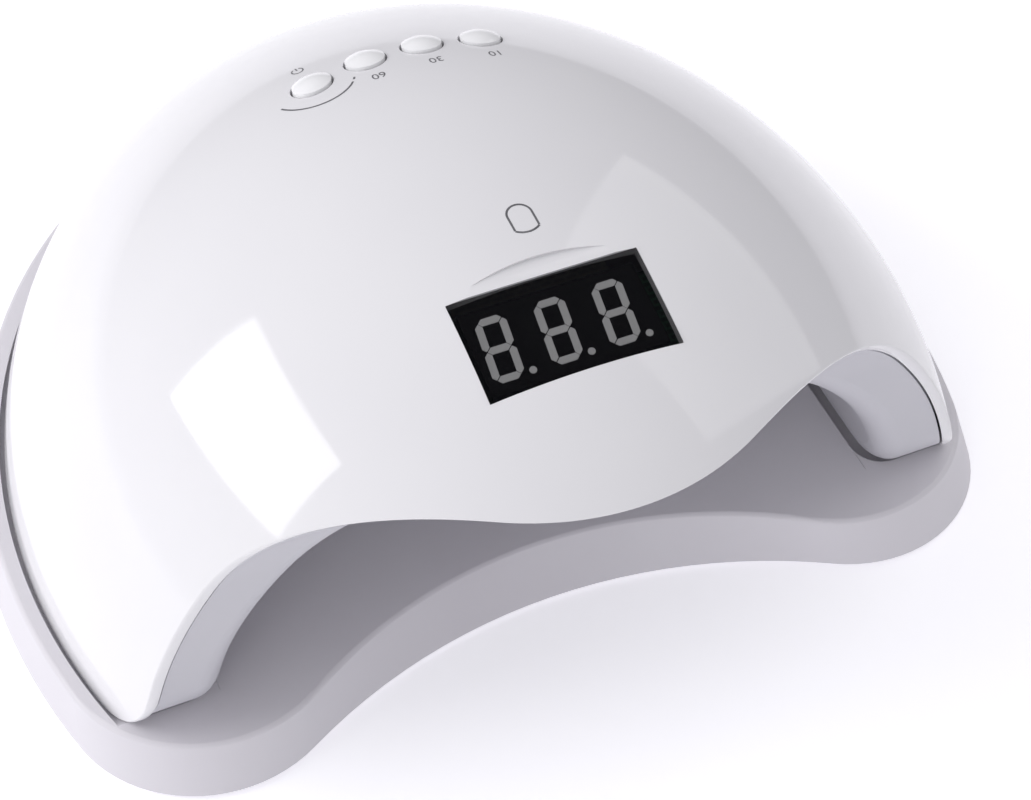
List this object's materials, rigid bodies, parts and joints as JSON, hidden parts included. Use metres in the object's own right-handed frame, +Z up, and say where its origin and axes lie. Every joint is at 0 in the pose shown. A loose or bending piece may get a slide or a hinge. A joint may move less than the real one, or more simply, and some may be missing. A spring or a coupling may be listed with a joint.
{
  "type": "uv curing lamp",
  "caption": "White domed nail curing lamp: arched hand tunnel lined with small lamps, display window and round push buttons on top, loose magnetic base tray.",
  "frame": {"origin": "on the table, under the middle of the lamp standing on its tray", "axes": "+Z up, -Y towards the user and the open mouth, +X to the right as the user sits"},
  "size_m": [0.225, 0.2166, 0.0982],
  "materials": {
    "shell_gloss_white": "glossy injection-moulded white plastic",
    "liner_satin_grey": "satin light grey plastic",
    "tray_satin_white": "satin white plastic",
    "foot_rubber": "soft grey rubber",
    "magnet_nickel": "nickel plate",
    "circuit_board": "green solder mask",
    "light_board_white": "white solder mask",
    "switch_black": "moulded black",
    "window_black": "clear gloss over dark smoke tint",
    "module_black": "matt black face",
    "segment_grey": "unlit milky light guides",
    "emitter_clear": "clear epoxy lens",
    "sensor_dark": "dark tinted epoxy lens",
    "component_black": "sleeved capacitors and moulded parts",
    "jack_black": "moulded black",
    "jack_pin_nickel": "nickel-plated contact pin",
    "screw_steel": "zinc-plated steel",
    "button_white": "gloss white caps"
  },
  "bodies": {
    "tray": {"base_tray": "tray_satin_white", "tray_feet": "foot_rubber", "tray_magnets": "magnet_nickel"},
    "lamp": {"button_board": "circuit_board", "control_board": "circuit_board", "control_board_parts": "component_black", "control_board_screws": "screw_steel", "display_board": "circuit_board", "display_module": "module_black", "display_segments": "segment_grey", "display_window": "window_black", "hand_sensor_eye": "sensor_dark", "hand_sensor_lamp": "sensor_dark", "housing_screws": "screw_steel", "inner_liner": "liner_satin_grey", "lamp_magnets": "magnet_nickel", "left_emitters": "emitter_clear", "left_light_board": "light_board_white", "light_board_screws": "screw_steel", "outer_shell": "shell_gloss_white", "panel_board_screws": "screw_steel", "power_jack_body": "jack_black", "power_jack_pin": "jack_pin_nickel", "rear_emitters": "emitter_clear", "rear_light_board": "light_board_white", "right_emitters": "emitter_clear", "right_light_board": "light_board_white", "switch_bodies": "switch_black", "top_emitters": "emitter_clear", "top_light_board": "light_board_white"},
    "button_power": {"button_power": "button_white", "switch_stem_power": "switch_black"},
    "button_60s": {"button_60s": "button_white", "switch_stem_60s": "switch_black"},
    "button_30s": {"button_30s": "button_white", "switch_stem_30s": "switch_black"},
    "button_10s": {"button_10s": "button_white", "switch_stem_10s": "switch_black"}
  },
  "joints": [
    {"name": "lamp_lift", "type": "slide", "parent": "tray", "child": "lamp", "axis": [0, 0, 1], "range_m": [0, 0.06]},
    {"name": "press_power", "type": "slide", "parent": "lamp", "child": "button_power", "axis": [0, -0.3316, -0.9434], "range_m": [0, 0.0008], "stiffness_N_per_m": 300, "springref_m": -0.0003},
    {"name": "press_60s", "type": "slide", "parent": "lamp", "child": "button_60s", "axis": [0, -0.3316, -0.9434], "range_m": [0, 0.0008], "stiffness_N_per_m": 300, "springref_m": -0.0003},
    {"name": "press_30s", "type": "slide", "parent": "lamp", "child": "button_30s", "axis": [0, -0.3316, -0.9434], "range_m": [0, 0.0008], "stiffness_N_per_m": 300, "springref_m": -0.0003},
    {"name": "press_10s", "type": "slide", "parent": "lamp", "child": "button_10s", "axis": [0, -0.3316, -0.9434], "range_m": [0, 0.0008], "stiffness_N_per_m": 300, "springref_m": -0.0003}
  ]
}
